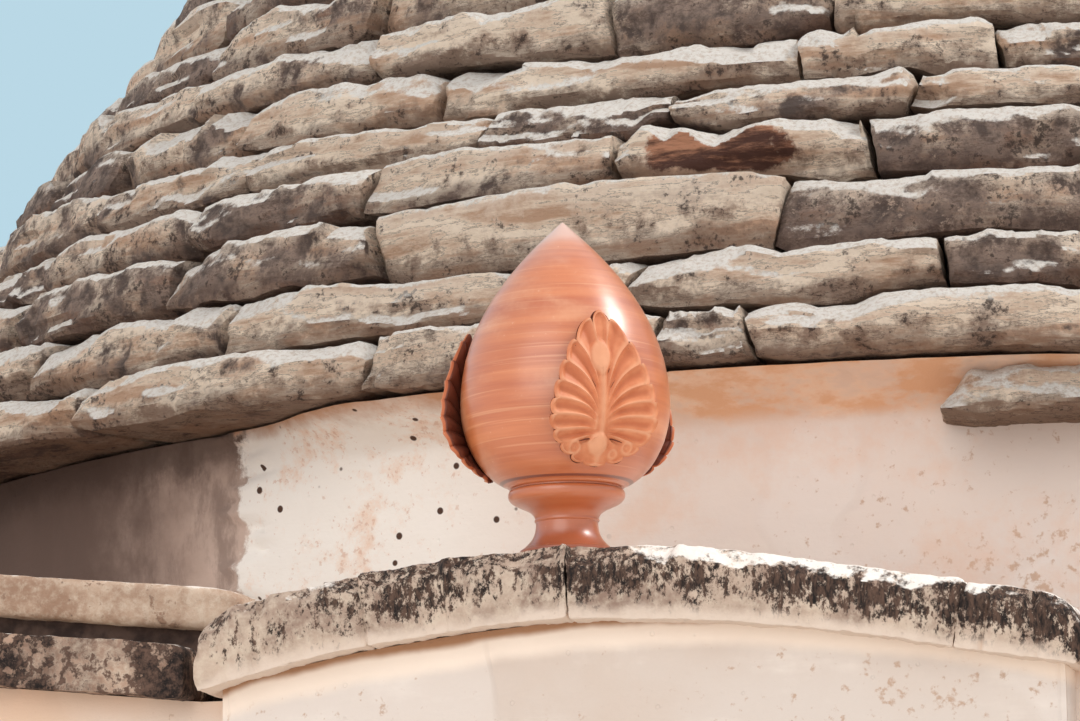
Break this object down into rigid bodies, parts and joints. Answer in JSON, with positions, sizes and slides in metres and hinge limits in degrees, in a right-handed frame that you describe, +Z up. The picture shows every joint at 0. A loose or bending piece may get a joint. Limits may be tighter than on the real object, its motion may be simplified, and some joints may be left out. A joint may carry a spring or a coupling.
{
  "type": "trullo roof with entrance gable and finial",
  "caption": "Dry-laid limestone cone roof on a plastered drum and square wall head, with gutter kerb, arched entrance gable and terracotta finial.",
  "frame": {"origin": "centre of the footprint on the bearing face under the walls", "axes": "+Z up, the entrance gable faces -Y, +X to the right seen from the front"},
  "size_m": [5.12, 5.1786, 3.909],
  "materials": {
    "plaster": "lime plaster, hand floated, matt",
    "lichened_limestone": "rough limestone dark with lichen",
    "pale_limestone": "worn limestone, matt",
    "coping_limestone": "limestone with dark lichen runs and bleached edges",
    "mortar": "lime mortar, matt",
    "terracotta": "fired clay with a soft sheen",
    "vault_limestone": "dry-laid limestone, matt",
    "roof_limestone": "dry-laid limestone, weathered",
    "limewash": "limewashed stone, matt"
  },
  "bodies": {
    "root": {"wall_gable": "plaster", "wall_front_left": "plaster", "wall_front_right": "plaster", "wall_left": "plaster", "wall_right": "plaster", "wall_back": "plaster", "cornice_front_left": "lichened_limestone", "cornice_front_right": "lichened_limestone", "cornice_left": "lichened_limestone", "cornice_right": "lichened_limestone", "cornice_back": "lichened_limestone", "kerb_front_left": "pale_limestone", "kerb_front_right": "pale_limestone", "kerb_left": "pale_limestone", "kerb_right": "pale_limestone", "kerb_back": "pale_limestone", "coping_end_left": "coping_limestone", "coping_left": "coping_limestone", "coping_right": "coping_limestone", "coping_end_right": "coping_limestone", "gable_screed": "mortar", "finial_foot": "terracotta", "finial_bulb": "terracotta", "leaf_front": "terracotta", "leaf_right": "terracotta", "leaf_left": "terracotta", "drum_front": "plaster", "drum_right": "plaster", "drum_back": "plaster", "drum_left": "plaster", "vault_ring_1": "vault_limestone", "vault_ring_2": "vault_limestone", "vault_ring_3": "vault_limestone", "vault_ring_4": "vault_limestone", "closing_slab": "vault_limestone", "course_band_1": "roof_limestone", "course_band_2": "roof_limestone", "course_band_3": "roof_limestone", "course_band_4": "roof_limestone", "cap_slab": "roof_limestone", "pinnacle_cone": "limewash", "pinnacle_disc": "limewash", "pinnacle_ball": "limewash"}
  },
  "joints": []
}
